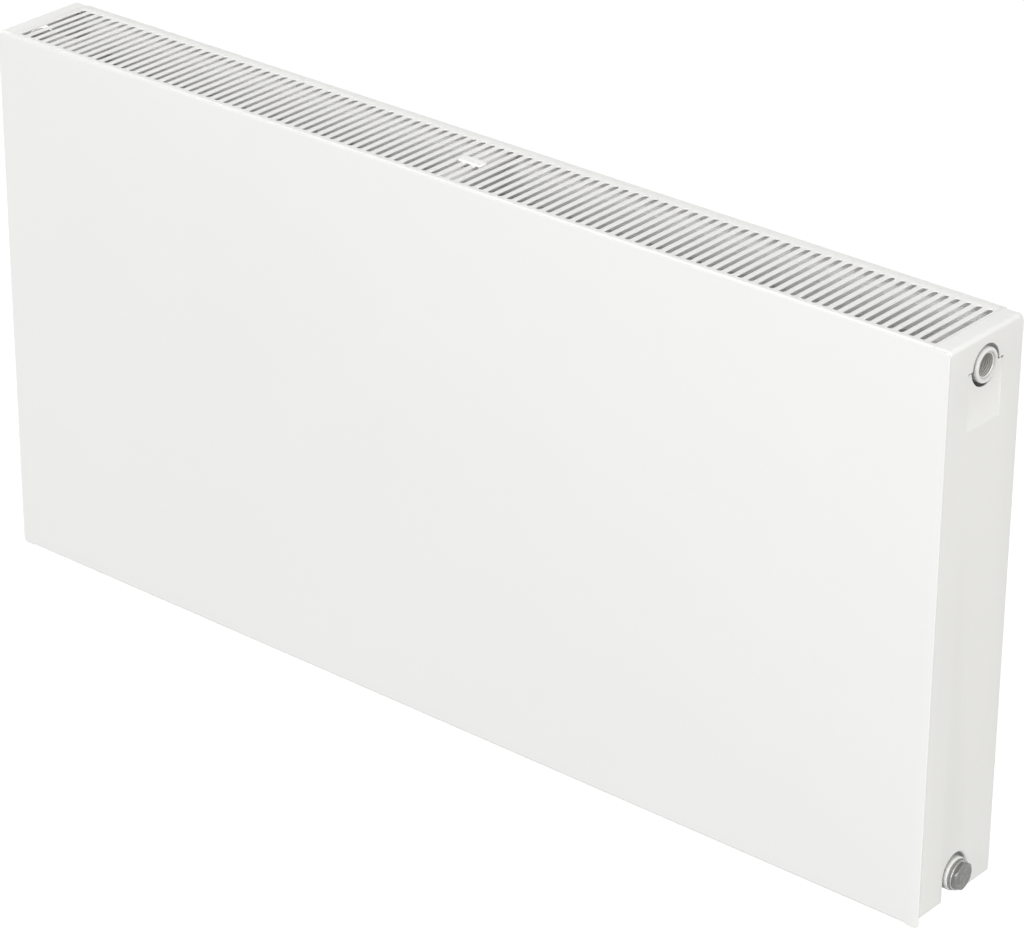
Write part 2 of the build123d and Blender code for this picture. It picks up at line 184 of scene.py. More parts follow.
def place_group(material, group, **values):
    """Place a group in a material with its own values."""
    node = material.node_tree.nodes.new("ShaderNodeGroup")
    node.node_tree = group
    set_inputs(node, **values)
    return node.outputs


def calc(tree, operation, first, second=0.0, third=0.0, clamp=False):
    """A Math node. MULTIPLY_ADD is first times second, plus third."""
    node = tree.nodes.new("ShaderNodeMath")
    node.operation = operation
    node.use_clamp = clamp
    for value, socket in zip((first, second, third), node.inputs):
        feed(value, socket)
    return node.outputs[0]


def inverse(tree, mask):
    """One less the mask."""
    return calc(tree, "SUBTRACT", 1.0, mask)


def diagonal(tree, first, second):
    """Length across two sides at right angles."""
    second_square = calc(tree, "MULTIPLY", second, second)
    return calc(tree, "SQRT", calc(tree, "MULTIPLY_ADD", first, first, second_square))


def object_place(tree):
    """Where on the object the coloured point lies, as one vector."""
    return tree.nodes.new("ShaderNodeTexCoord").outputs["Object"]


def split(tree, vector):
    """The X, Y and Z of a vector."""
    node = tree.nodes.new("ShaderNodeSeparateXYZ")
    feed(vector, node.inputs[0])
    return node.outputs


def noise(tree, size, detail=2.0, vector=None):
    """Noise whose lumps are about the given size in metres."""
    node = tree.nodes.new("ShaderNodeTexNoise")
    vector = object_place(tree) if vector is None else vector
    set_inputs(node, Scale=calc(tree, "DIVIDE", 1.0, size), Detail=detail, Vector=vector)
    return node.outputs["Fac"]


def blend_colour(tree, share, first, second):
    """A colour Mix node."""
    node = tree.nodes.new("ShaderNodeMix")
    node.data_type = "RGBA"
    feed(share, node.inputs[0])
    feed(first, node.inputs[6])
    feed(second, node.inputs[7])
    return node.outputs[2]


def ramp(tree, value, low, high):
    """0 below low, 1 above high, smooth between."""
    node = tree.nodes.new("ShaderNodeMapRange")
    node.interpolation_type = "SMOOTHSTEP"
    set_inputs(node, Value=value, From_Min=low, From_Max=high)
    return node.outputs["Result"]


def new_material(name):
    """A material with its tree and its shader."""
    material = bpy.data.materials.new(name)
    material.use_nodes = True
    return material, material.node_tree, material.node_tree.nodes["Principled BSDF"]


def add_bump(material, height, depth):
    """Another relief of the given depth in metres, on top of the ones already there."""
    tree = material.node_tree
    normal = tree.nodes["Principled BSDF"].inputs["Normal"]
    bump = tree.nodes.new("ShaderNodeBump")
    set_inputs(bump, Distance=depth, Height=height)
    if normal.is_linked:
        feed(normal.links[0].from_socket, bump.inputs["Normal"])
    feed(bump.outputs["Normal"], normal)


def add_tint(material, mask, colour):
    """Lay a colour over what the material has, where the mask says."""
    tree = material.node_tree
    base = tree.nodes["Principled BSDF"].inputs["Base Color"]
    feed(blend_colour(tree, mask, base.links[0].from_socket, colour), base)


# Stoved powder flows out into small lumps on longer waves, and its gloss is not quite even.
orange_peel, into, out = new_group(
    "orange_peel",
    {"Lump Size": 0.0014, "Wave Size": 0.02, "Roughness": 0.36, "Spread": 0.08},
    {"Height": 0.0, "Roughness": 0.0},
)
waves = noise(orange_peel, into["Wave Size"], 1.0)
feed(calc(orange_peel, "MULTIPLY_ADD", noise(orange_peel, into["Lump Size"]), 0.6, waves), out["Height"])
uneven = calc(orange_peel, "SUBTRACT", waves, 0.5)
feed(calc(orange_peel, "MULTIPLY_ADD", uneven, into["Spread"], into["Roughness"]), out["Roughness"])

# The coat is a little thinner in patches, and the primer darkens it there.
coat_tone, into, out = new_group(
    "coat_tone",
    {"Full": (1, 1, 1, 1), "Thin": (1, 1, 1, 1), "Patch Size": 0.12, "Share": 0.3},
    {"Color": (1, 1, 1, 1)},
)
patches = ramp(coat_tone, noise(coat_tone, into["Patch Size"], 4.0), 0.35, 0.75)
thin_share = calc(coat_tone, "MULTIPLY", patches, into["Share"])
feed(blend_colour(coat_tone, thin_share, into["Full"], into["Thin"]), out["Color"])

# House dust lies on whatever faces up.
settled_dust, into, out = new_group(
    "settled_dust",
    {"Paint": (1, 1, 1, 1), "Dust": (0.62, 0.59, 0.54, 1), "Amount": 0.05},
    {"Color": (1, 1, 1, 1)},
)
facing = split(settled_dust, settled_dust.nodes.new("ShaderNodeNewGeometry").outputs["Normal"])
flecks = ramp(settled_dust, noise(settled_dust, 0.004, 6.0), 0.35, 0.7)
lying = calc(settled_dust, "MULTIPLY", ramp(settled_dust, facing["Z"], 0.5, 0.95), flecks)
dust_share = calc(settled_dust, "MULTIPLY", lying, into["Amount"])
feed(blend_colour(settled_dust, dust_share, into["Paint"], into["Dust"]), out["Color"])


def painted_steel(name, full, thin, roughness, share=0.3, dust=0.05, lump=0.0014):
    """White powder coat on steel: orange peel, patches of thinner coat and a little dust."""
    material, tree, shader = new_material(name)
    tone = place_group(material, coat_tone, Full=full, Thin=thin, Patch_Size=patch_size, Share=share)
    dusty = place_group(material, settled_dust, Paint=tone["Color"], Amount=dust)
    skin = place_group(material, orange_peel, Lump_Size=lump, Roughness=roughness)
    set_inputs(shader, Base_Color=dusty["Color"], Roughness=skin["Roughness"])
    set_inputs(shader, IOR=1.48, Specular_IOR_Level=0.12)
    add_bump(material, skin["Height"], peel_depth)
    return material


# Round electrode marks, one row down each strip between two channels.
spot_welds, into, out = new_group(
    "spot_welds", {"Pitch X": 0.04, "Pitch Z": 0.04, "Radius": 0.0025}, {"Ring": 0.0, "Dent": 0.0}
)
place = split(spot_welds, object_place(spot_welds))
aside, above = [
    calc(spot_welds, "PINGPONG", place[axis], calc(spot_welds, "MULTIPLY", into["Pitch " + axis], 0.5))
    for axis in "XZ"
]
radii_out = calc(spot_welds, "DIVIDE", diagonal(spot_welds, aside, above), into["Radius"])
dent = ramp(spot_welds, radii_out, 0.55, 1.0)
feed(dent, out["Dent"])
in_rim = inverse(spot_welds, ramp(spot_welds, radii_out, 1.0, 1.5))
feed(calc(spot_welds, "MULTIPLY", dent, in_rim), out["Ring"])


def add_weld_marks(material, pitch_z, radius, depth):
    """Dents of the electrodes, in rows one weld pitch apart. Gives the mask of their rims."""
    marks = place_group(material, spot_welds, Pitch_X=weld_pitch, Pitch_Z=pitch_z, Radius=radius)
    add_bump(material, marks["Dent"], depth)
    return marks["Ring"]


panel_paint = painted_steel("panel_paint", panel_white, panel_thin_white, 0.38, share=0.5, dust=0.12)
weld_rims = add_weld_marks(panel_paint, weld_rise, weld_radius, weld_depth)
add_tint(panel_paint, calc(panel_paint.node_tree, "MULTIPLY", weld_rims, 0.12), panel_thin_white)

panel_sheets = {
    "front_panel_outer_sheet": ("front_outer_pressing", -1),
    "front_panel_inner_sheet": ("front_inner_pressing", 1),
    "rear_panel_inner_sheet": ("rear_inner_pressing", -1),
    "rear_panel_outer_sheet": ("rear_outer_pressing", 1),
}
for node, (name, facing_y) in panel_sheets.items():
    low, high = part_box(node)
    crest_y = high.y if facing_y > 0 else low.y
    flat_y = crest_y - facing_y * (panel_press - sheet_thickness)
    pressing = cad_copy(name, node)
    start_edit(pressing)
    round_edges(lambda e: lies_at(e, "y", crest_y, 0.0001) and fold_angle(e) > 15, crest_round, 3, True)
    round_edges(lambda e: lies_at(e, "y", flat_y, 0.0001) and 15 < fold_angle(e) < 80, foot_round, 3, True)
    end_edit()
    finish_piece(pressing, panel_paint, node)

# ---------------- convector fins
# One folded channel of half-millimetre sheet on each waterway, welded to its crest through the base.
# They hang in the draught between the panels and take less powder than the outside does.
fin_sheet = 0.0005
fin_round = 0.0011
fin_inner_round = 0.00066
fin_weld_rise = 0.045
fin_weld_radius = 0.002
fin_weld_depth = 0.0003
fin_white = (0.95, 0.95, 0.93, 1)
fin_thin_white = (0.91, 0.91, 0.885, 1)

fin_paint = painted_steel("fin_paint", fin_white, fin_thin_white, 0.42, share=0.6, dust=0.18, lump=0.0011)
add_weld_marks(fin_paint, fin_weld_rise, fin_weld_radius, fin_weld_depth)


def middle(part):
    """Middle of an edge or a face."""
    return sum((point.co for point in part.verts), Vector()) / len(part.verts)


def rise(edge):
    """Height between an edge's ends."""
    return abs(edge.verts[0].co.z - edge.verts[1].co.z)


for node, name, base_side in (("front_convector", "front_fins", -1), ("rear_convector", "rear_fins", 1)):
    low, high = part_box(node)
    base_y = low.y if base_side < 0 else high.y
    fins = cad_copy(name, node)
    start_edit(fins)
    for depth, width in ((0, fin_round), (fin_sheet, fin_inner_round)):
        round_edges(lambda e: rise(e) > 0.1 and near(abs(middle(e).y - base_y), depth, 0.0001), width, 3)
    end_edit()
    finish_piece(fins, fin_paint, node)

# ---------------- port fittings
# Four cast tees join the panels at the corners; the turned socket of each points out through its side cover.
# They are welded into the headers, painted with the panels and tapped afterwards, so their mouths are bare.
socket_radius = 0.0142
socket_chamfer = 0.0012  # the same inside and outside
port_radius = 0.01045
port_depth = 0.018
waterway = 0.0085
waterway_end = 0.002  # short of the branch's middle
branch_radius = 0.012
branch_rim = 0.001
branch_from_face = 0.0435
weld_bead = 0.0013
bead_out = 0.0005
bead_lift = 0.00078
bead_ripple = 0.00022
bead_step = 5  # degrees from one ripple's crest to its valley
cast_grain = 0.0022
cast_depth = 0.00012
ragged_by = 0.0006  # how far the edge of the paint wanders
shade_starts_behind = (0.0016, 0.0032)  # behind the face, where the painted shade starts
shade_ends_behind = (0.008, 0.013)
bare_to = (0.0118, 0.0121)  # from the axis, where bare metal ends
shade_starts_off_axis = (0.0122, 0.0128)
fitting_white = (0.88, 0.88, 0.865, 1)
painted_shade_grey = (0.60, 0.60, 0.585, 1)  # painted shade: the fitting is darker behind its socket's face, in the gap inside the cover
bare_steel = (0.74, 0.74, 0.725, 1)

plug_low, plug_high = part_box("blanking_plug")
fitting_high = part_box("connection_tees")[1]
port_y = (plug_low.y + plug_high.y) / 2
low_port_z = (plug_low.z + plug_high.z) / 2
socket_face = fitting_high.x
high_port_z = fitting_high.z - socket_radius
branch_x = socket_face - branch_from_face
front_header_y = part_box("front_panel_inner_sheet")[1].y
rear_header_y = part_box("rear_panel_inner_sheet")[0].y


def settle(name):
    """Name the piece in hand, and put its place, turn and size into its mesh."""
    bpy.ops.object.transform_apply(location=True, rotation=True, scale=True)
    bpy.context.object.name = name
    return bpy.context.object


def bar(name, radius, length, centre, turn, sides):
    """A solid round bar."""
    clear_selection()
    bpy.ops.mesh.primitive_cylinder_add(
        vertices=sides, radius=radius, depth=length, location=centre, rotation=turn
    )
    return settle(name)


def turned_about_x(name, radius, x0, x1, axis_z, sides=64):
    """A bar on a port's axis, the start of a turned part."""
    return bar(name, radius, x1 - x0, ((x0 + x1) / 2, port_y, axis_z), (0, math.pi / 2, 0), sides)


def off_axis(place, axis_z):
    """Distance of a place from a port's axis."""
    return math.hypot(place.y - port_y, place.z - axis_z)


def extrude(x, y, z):
    """Draw what is picked out by this much."""
    bpy.ops.mesh.extrude_region_move(TRANSFORM_OT_translate={"value": (x, y, z)})


def inset(width):
    """Leave a rim of this width round what is picked."""
    bpy.ops.mesh.inset(thickness=width, use_even_offset=True)


def pick_end(x):
    """Pick the whole flat face at one X."""
    pick("FACE", lambda f: near(middle(f).x, x, 0.00002) and abs(f.normal.x) > 0.9)


def put_modifier(piece, kind, **settings):
    """Add a modifier with these settings and apply it at once."""
    take_up(piece)
    modifier = piece.modifiers.new(kind.lower(), kind)
    for key, value in settings.items():
        setattr(modifier, key, value)
    bpy.ops.object.modifier_apply(modifier=modifier.name)


def combine(piece, operation, *tools):
    """Unite the piece with other bodies, or cut them out of it, and do away with them."""
    for tool in tools:
        put_modifier(piece, "BOOLEAN", operation=operation, solver="EXACT", object=tool)
        bpy.data.objects.remove(tool)


socket = turned_about_x("top_right_fitting", socket_radius, branch_x, socket_face, high_port_z)
start_edit(socket)
pick_end(socket_face)
inset(socket_radius - port_radius)
extrude(-port_depth, 0, 0)
inset(port_radius - waterway)
extrude(port_depth + waterway_end - branch_from_face, 0, 0)
for rim_radius in (socket_radius, port_radius):
    round_edges(
        lambda e: lies_at(e, "x", socket_face)
        and all(near(off_axis(v.co, high_port_z), rim_radius, 0.0001) for v in e.verts),
        socket_chamfer, 2,
    )
end_edit()


def in_valley(point):
    """Every other ring of a weld bead's points."""
    turn = math.degrees(math.atan2(point.co.z - high_port_z, point.co.x - branch_x))
    return round(turn / bead_step) % 2 == 0


branch_middle = (branch_x, (front_header_y + rear_header_y) / 2, high_port_z)
branch = bar("branch", branch_radius, rear_header_y - front_header_y, branch_middle, (math.pi / 2, 0, 0), 56)
start_edit(branch)
pick("FACE", lambda f: abs(f.normal.y) > 0.9)
inset(branch_rim)
end_edit()
for side_y, header_y in ((1, front_header_y), (-1, rear_header_y)):
    clear_selection()
    bpy.ops.mesh.primitive_torus_add(
        major_radius=branch_radius + bead_out, minor_radius=weld_bead, major_segments=72, minor_segments=10,
        location=(branch_x, header_y + side_y * bead_lift, high_port_z), rotation=(math.pi / 2, 0, 0),
    )
    bead = settle("bead")
    start_edit(bead)
    pick("VERT", in_valley)
    bpy.ops.transform.shrink_fatten(value=-bead_ripple)
    end_edit(60)
    combine(branch, "UNION", bead)
combine(socket, "UNION", branch)
start_edit(socket)
pick_all()
bpy.ops.mesh.remove_doubles(threshold=0.00001)
bpy.ops.mesh.fill_holes(sides=8)
end_edit()

fitting_paint = painted_steel("fitting_paint", fitting_white, panel_thin_white, 0.45, share=0.35, dust=0.1)
tree = fitting_paint.node_tree
add_bump(fitting_paint, noise(tree, cast_grain, 3.0), cast_depth)
place = split(tree, object_place(tree))
behind_face = calc(tree, "SUBTRACT", socket_face, calc(tree, "ABSOLUTE", place["X"]))
off_y = calc(tree, "SUBTRACT", place["Y"], port_y)
off_high, off_low = [
    calc(tree, "ABSOLUTE", calc(tree, "SUBTRACT", place["Z"], port_z)) for port_z in (high_port_z, low_port_z)
]
from_axis = diagonal(tree, off_y, calc(tree, "MINIMUM", off_high, off_low))
ragged = calc(tree, "MULTIPLY", noise(tree, 0.002, 3.0), ragged_by)
deeper = calc(tree, "ADD", behind_face, ragged)
# Painted shade: behind the socket's face and outside the tapped mouth, the fitting is tinted grey where it
# lies in the shade inside the cover and under the grille.
past_rim = ramp(tree, deeper, *shade_starts_behind)
within_shade_depth = inverse(tree, ramp(tree, deeper, *shade_ends_behind))
outside = ramp(tree, from_axis, *shade_starts_off_axis)
painted_shade_mask = calc(tree, "MULTIPLY", calc(tree, "MULTIPLY", past_rim, within_shade_depth), outside)
add_tint(fitting_paint, painted_shade_mask, painted_shade_grey)
tapped = inverse(tree, ramp(tree, calc(tree, "ADD", from_axis, ragged), *bare_to))
add_tint(fitting_paint, tapped, bare_steel)


def copy_to(piece, name, move=(0, 0, 0), mirror_x=False):
    """Another of the same piece, with its own mesh, moved or mirrored to the other end."""
    twin = new_object(name, piece.data.copy())
    start_edit(twin)
    pick_all()
    bpy.ops.transform.translate(value=move)
    if mirror_x:
        bpy.ops.transform.mirror(constraint_axis=(True, False, False), center_override=(0, 0, 0))
        bpy.ops.mesh.flip_normals()
    end_edit()
    return twin


drop = (0, 0, low_port_z - high_port_z)
fittings = [
    socket,
    copy_to(socket, "bottom_right_fitting", drop),
    copy_to(socket, "top_left_fitting", mirror_x=True),
    copy_to(socket, "bottom_left_fitting", drop, True),
]
for fitting in fittings:
    finish_piece(fitting, fitting_paint)
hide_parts("connection_tees")

# ---------------- pipe thread in the open ports
# Half-inch parallel pipe thread, cut by a tap after painting, down almost to the port's shoulder.
# It is bare steel that has dulled in store, palest in the first turns.
thread_pitch = 0.001814
thread_height = 0.00105
thread_root = 0.86  # share of the pitch that the ridge takes up at its foot
thread_crest = 0.25  # of the foot's width
thread_turns = 8
thread_depth = 0.00003
thread_steel = (0.76, 0.75, 0.73, 1)
thread_stain = (0.66, 0.64, 0.60, 1)

thread_metal, tree, shader = new_material("cut_thread")
out_x = calc(tree, "ABSOLUTE", split(tree, object_place(tree))["X"])
from_face = calc(tree, "SUBTRACT", socket_face, out_x)
overspray = calc(tree, "MULTIPLY_ADD", noise(tree, 0.003, 4.0), 0.006, from_face)
bare = ramp(tree, overspray, 0.001, 0.003)
stain = blend_colour(tree, noise(tree, 0.004, 5.0), thread_steel, thread_stain)
roughness = calc(tree, "MULTIPLY_ADD", noise(tree, 0.002), -0.2, 0.52)
metallic = calc(tree, "MULTIPLY_ADD", bare, 0.15, 0.05)
colour = blend_colour(tree, bare, bare_steel, stain)
set_inputs(shader, Base_Color=colour, Metallic=metallic, Roughness=roughness)
add_bump(thread_metal, noise(tree, 0.0006, 3.0), thread_depth)


def sheet(name, size, centre, turn=(0, 0, 0)):
    """A flat rectangle, the start of a swept or folded part."""
    clear_selection()
    bpy.ops.mesh.primitive_plane_add(size=1, location=centre, rotation=turn)
    bpy.context.object.scale = (*size, 1)
    return settle(name)


thread_start = socket_face - port_depth + thread_pitch
ridge_middle = (thread_start, port_y, high_port_z + port_radius - thread_height / 2)
ridge_size = (thread_pitch * thread_root, thread_height)
thread = sheet("top_right_thread", ridge_size, ridge_middle, (math.pi / 2, 0, 0))
start_edit(thread)
pick("VERT", lambda v: v.co.z < ridge_middle[2])
bpy.ops.transform.resize(value=(thread_crest, 1, 1), center_override=ridge_middle)
pick_all()
bpy.ops.mesh.delete(type="ONLY_FACE")
end_edit()
bpy.context.scene.cursor.location = (thread_start, port_y, high_port_z)
thread.select_set(True)
bpy.ops.object.origin_set(type="ORIGIN_CURSOR")
put_modifier(
    thread, "SCREW", axis="X", screw_offset=thread_pitch, iterations=thread_turns, steps=48, render_steps=48
)
settle("top_right_thread")
start_edit(thread)
pick_all()
bpy.ops.mesh.fill_holes(sides=4)
bpy.ops.mesh.normals_make_consistent(inside=False)
end_edit()
other_thread = copy_to(thread, "bottom_left_thread", drop, True)
finish_piece(thread, thread_metal, slot="nickel")
finish_piece(other_thread, thread_metal, slot="nickel")

# ---------------- wall lugs
# Four bridges of two-millimetre strip, bent on a press and spot-welded across two crests of the rear panel.
# The wall brackets' hooks go in behind them. They are sprayed together with the panels.
lug_fold_round = 0.0013
lug_rim_round = 0.0003
lug_weld_rise = 0.014
lug_weld_radius = 0.0024
lug_weld_depth = 0.0005


def soften(piece, width, segments=2, angle=50):
    """Round every edge sharper than the angle, as paint or tumbling does."""
    put_modifier(piece, "BEVEL", width=width, segments=segments, limit_method="ANGLE",
                 angle_limit=math.radians(angle), use_clamp_overlap=True)
    bpy.ops.object.shade_smooth_by_angle(angle=math.radians(35))


lugs = cad_copy("hook_lugs", "wall_lugs")
start_edit(lugs)
round_edges(lambda e: rise(e) > 0.02 and 60 < fold_angle(e) < 80, lug_fold_round, 4)
end_edit()
soften(lugs, lug_rim_round)
lug_paint = painted_steel("lug_paint", panel_white, panel_thin_white, 0.4, share=0.7, dust=0.3)
add_weld_marks(lug_paint, lug_weld_rise, lug_weld_radius, lug_weld_depth)
finish_piece(lugs, lug_paint, "wall_lugs")

# ---------------- bonding strips
# Beads of elastic adhesive that hold the flat plate to the front panel's crests, so that the two can expand
# apart. They are laid by a nozzle and pressed flat, which leaves long faint ridges and a rounded edge.
strip_round = 0.0005
ridge_depth = 0.0003
strip_grey = (0.34, 0.34, 0.35, 1)
strip_dark_grey = (0.27, 0.27, 0.28, 1)


def grained(name, size, detail, first, second, roughness, spread, stretch=(1, 1, 1)):
    """A plain material whose colour and gloss follow one grain, and the grain's own output."""
    material, tree, shader = new_material(name)
    drawn = tree.nodes.new("ShaderNodeMapping")
    set_inputs(drawn, Scale=stretch, Vector=object_place(tree))
    grain = noise(tree, size, detail, drawn.outputs["Vector"])
    colour = blend_colour(tree, grain, first, second)
    set_inputs(shader, Base_Color=colour, Roughness=calc(tree, "MULTIPLY_ADD", grain, spread, roughness))
    return material, grain


strips = cad_copy("glue_strips", "bonding_strips")
soften(strips, strip_round, 3)
glue, ridges = grained("elastic_glue", 0.0012, 3.0, strip_grey, strip_dark_grey, 0.45, 0.25, (1, 1, 0.08))
add_bump(glue, ridges, ridge_depth)
finish_piece(strips, glue, "bonding_strips", slot="adhesive")

# ---------------- flat front plate
# One smooth sheet, cut with round corners and folded back along the bottom for stiffness.
# It is powder-coated on its own and bonded on, so its face has an even, slightly glossier skin.
plate_thickness = 0.0012
plate_corner = 0.005
plate_rim_round = 0.0005
plate_fold_radius = 0.003
plate_fold_reach = 0.009
plate_fold_inset = 0.012
plate_cut_depth = 0.01
plate_soft_round = 0.0002
plate_wave = 0.35
plate_wave_depth = 0.0004
plate_white = (0.90, 0.90, 0.887, 1)
plate_thin_white = (0.875, 0.875, 0.857, 1)


def block(name, size, centre):
    """A solid block."""
    clear_selection()
    bpy.ops.mesh.primitive_cube_add(size=1, location=centre)
    bpy.context.object.scale = size
    return settle(name)


low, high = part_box("front_cover_plate")
plate_centre = (0, low.y, (low.z + high.z) / 2)
plate = sheet("front_plate", (high.x - low.x, high.z - low.z), plate_centre, (math.pi / 2, 0, 0))
start_edit(plate)
pick_all()
bpy.ops.mesh.bevel(offset=plate_corner, segments=8, affect="VERTICES")
pick_all()
extrude(0, plate_thickness, 0)
pick_all()
bpy.ops.mesh.normals_make_consistent(inside=False)
round_edges(lambda e: lies_at(e, "y", low.y) and fold_angle(e) > 60, plate_rim_round, 4)
end_edit()

edge_cut = block(
    "edge_cut", (2 * (high.x - plate_fold_inset), plate_cut_depth, 2 * plate_fold_radius), (0, low.y, low.z)
)
combine(plate, "DIFFERENCE", edge_cut)
start_edit(plate)
fold_centre = Vector((0, low.y + plate_fold_radius, low.z + plate_fold_radius))
pick("FACE", lambda f: f.normal.z < -0.9 and near(middle(f).z, fold_centre.z, 0.0001))
bpy.ops.mesh.spin(steps=6, angle=-math.pi / 2, center=fold_centre, axis=(1, 0, 0))
pick("FACE", lambda f: f.normal.y > 0.9 and near(middle(f).y, fold_centre.y, 0.0001))
extrude(0, plate_fold_reach - plate_fold_radius, 0)
end_edit()
soften(plate, plate_soft_round)

plate_paint = painted_steel("plate_paint", plate_white, plate_thin_white, 0.34, 0.25, dust=0.03, lump=0.0013)
add_bump(plate_paint, noise(plate_paint.node_tree, plate_wave, 1.0), plate_wave_depth)
finish_piece(plate, plate_paint, "front_cover_plate")

# ---------------- strap
# A folded strip of steel, welded across the two top seams at mid length and sprayed with the panels.
# The clip's leg snaps into its square hole and so holds the grille down.
strap_fold_round = 0.0018
strap_rim_round = 0.0002
strap_grain = 0.0009
strap_grain_depth = 0.00008

strap_low, strap_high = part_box("grille_strap")
strap = cad_copy("hold_down_strap", "grille_strap")
start_edit(strap)
round_edges(
    lambda e: near(middle(e).z, strap_high.z, 0.00005)
    and min(middle(e).y - strap_low.y, strap_high.y - middle(e).y) < 0.00005,
    strap_fold_round, 5,
)
end_edit()
soften(strap, strap_rim_round)
strap_paint = painted_steel("strap_paint", panel_white, panel_thin_white, 0.4, share=0.5, dust=0.25)
add_bump(strap_paint, noise(strap_paint.node_tree, strap_grain, 4.0), strap_grain_depth)
finish_piece(strap, strap_paint, "grille_strap")

# ---------------- side covers
# Trays of 0.8 mm sheet with rounded folds, pierced for the top fitting and open at the bottom one, where the
# rim is drawn inwards to a lip. Below the hole the press sets back a panel that a slit frees along its top.
# Two tabs slide in behind the front plate, and the cover pulls off endways.
cover_sheet = 0.0008
cover_corner_round = 0.009
cover_fold_round = 0.004
cover_front_round = 0.002
cover_soft_round = 0.00015
rim_round = 0.0024
rim_lip = 0.0032
hole_radius = 0.0173
hole_lip = 0.0005
slit_height = 0.0018
slit_above = 0.0002  # the part of it over the port's middle
slit_half_width = 0.0230
notch_radius = 0.0158
notch_rise = 0.002
notch_corner = 0.003
dent_half_width = 0.022
dent_height = 0.049
dent_depth = 0.0011
dent_foot_depth = 0.0003
dent_draft = 0.0005
tab_reach = 0.022
tab_half_height = 0.015
tab_from_end = 0.120
punch_reach = 0.03
punch_sides = 72
notch_drop = 0.05  # past the cover's bottom
corner_reach = 0.003
corner_merge = 0.00045
edge_margin = 0.001
rim_margin = 0.0005  # so near a cut, a face along X is the cut's own wall
draw_wave = 0.06
draw_wave_depth = 0.00025
cover_white = (0.90, 0.90, 0.885, 1)
cover_thin_white = (0.865, 0.865, 0.845, 1)

low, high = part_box("right_side_cover")
flange_x = low.x + tab_reach
notch_z = low_port_z + notch_rise
dent_foot_z = high_port_z - dent_height
hole_foot_z = high_port_z - hole_radius - rim_margin


def score(axis, value):
    """Cut the picked faces along the plane at one x, y or z."""
    across = Vector([letter == axis for letter in "xyz"])
    bpy.ops.mesh.bisect(plane_co=across * value, plane_no=across)


def dent_face(face):
    """The rectangle of the cover's flat side that the press pushes in."""
    y, z = middle(face).yz
    return face.normal.x > 0.99 and near(y, port_y, dent_half_width) and dent_foot_z < z < high_port_z


def rim_edge(edge):
    """The outer edge of the bottom and of the notch."""
    on_bottom = lies_at(edge, "z", low.z) and not near(middle(edge).x, flange_x)
    at_notch = lies_at(edge, "x", high.x) and middle(edge).z < dent_foot_z - edge_margin
    return (at_notch or on_bottom) and fold_angle(edge) > 60


def wall_face(face):
    """A face that runs inwards, along X, from a rim."""
    spot = middle(face)
    aside = abs(spot.y - port_y) - rim_margin
    in_hole = off_axis(spot, high_port_z) < hole_radius + rim_margin
    in_slit = near(spot.z, high_port_z, slit_height + rim_margin) and aside < slit_half_width
    in_notch = aside < notch_radius and spot.z < notch_z + notch_radius + rim_margin
    return near(face.normal.x, 0, 0.05) and (in_hole or in_slit or in_notch or near(spot.z, low.z))


def flange_edge(face):
    """The narrow inner edge of the front flange."""
    spot = middle(face)
    return face.normal.x < -0.9 and spot.y < low.y + edge_margin and spot.x < flange_x + edge_margin


cover = block(
    "right_end_cover", (high.x - flange_x, high.y - low.y, high.z - low.z),
    ((flange_x + high.x) / 2, (low.y + high.y) / 2, (low.z + high.z) / 2),
)
start_edit(cover)
round_edges(lambda e: lies_at(e, "y", high.y) and lies_at(e, "z", high.z), cover_corner_round, 8)
round_edges(
    lambda e: lies_at(e, "x", high.x) and not near(middle(e).y, low.y) and not near(middle(e).z, low.z),
    cover_fold_round, 7,
)
round_edges(
    lambda e: lies_at(e, "y", low.y) and fold_angle(e) > 60
    and middle(e).x > flange_x + 0.0001 and not near(middle(e).z, low.z),
    cover_front_round, 4,
)
for axis, value in (
    ("y", port_y - dent_half_width), ("y", port_y + dent_half_width), ("z", high_port_z), ("z", dent_foot_z)
):
    pick("FACE", lambda f: f.normal.x > 0.99)
    score(axis, value)
pick("FACE", dent_face)
extrude(-dent_depth, 0, 0)
pick("VERT", lambda v: near(v.co.x, high.x - dent_depth))
bpy.ops.transform.resize(
    value=(1, 1 - dent_draft / dent_half_width, 1 - dent_draft / dent_height),
    center_override=(high.x - dent_depth, port_y, high_port_z),
)
pick("VERT", lambda v: near(v.co.x, high.x - dent_depth) and v.co.z < high_port_z - dent_height / 2)
bpy.ops.transform.translate(value=(dent_depth - dent_foot_depth, 0, 0))
end_edit()

hole_punch, notch_punch = [
    turned_about_x("punch", radius, high.x - punch_reach, high.x + punch_reach, axis_z, punch_sides)
    for radius, axis_z in ((hole_radius, high_port_z), (notch_radius, notch_z))
]
start_edit(notch_punch)
pick("FACE", lambda f: f.normal.z < -0.01 and abs(f.normal.x) < 0.1)
extrude(0, 0, -notch_drop)
pick_all()
bpy.ops.mesh.normals_make_consistent(inside=False)
end_edit()
slit_punch = block(
    "slit_punch", (2 * punch_reach, 2 * slit_half_width, slit_height),
    (high.x, port_y, high_port_z - slit_height / 2 + slit_above),
)
combine(cover, "DIFFERENCE", hole_punch, notch_punch, slit_punch)

start_edit(cover)
round_edges(
    lambda e: lies_at(e, "z", low.z) and near(abs(middle(e).y - port_y), notch_radius, 0.0001),
    notch_corner, 6,
)
round_edges(rim_edge, rim_round, 5)
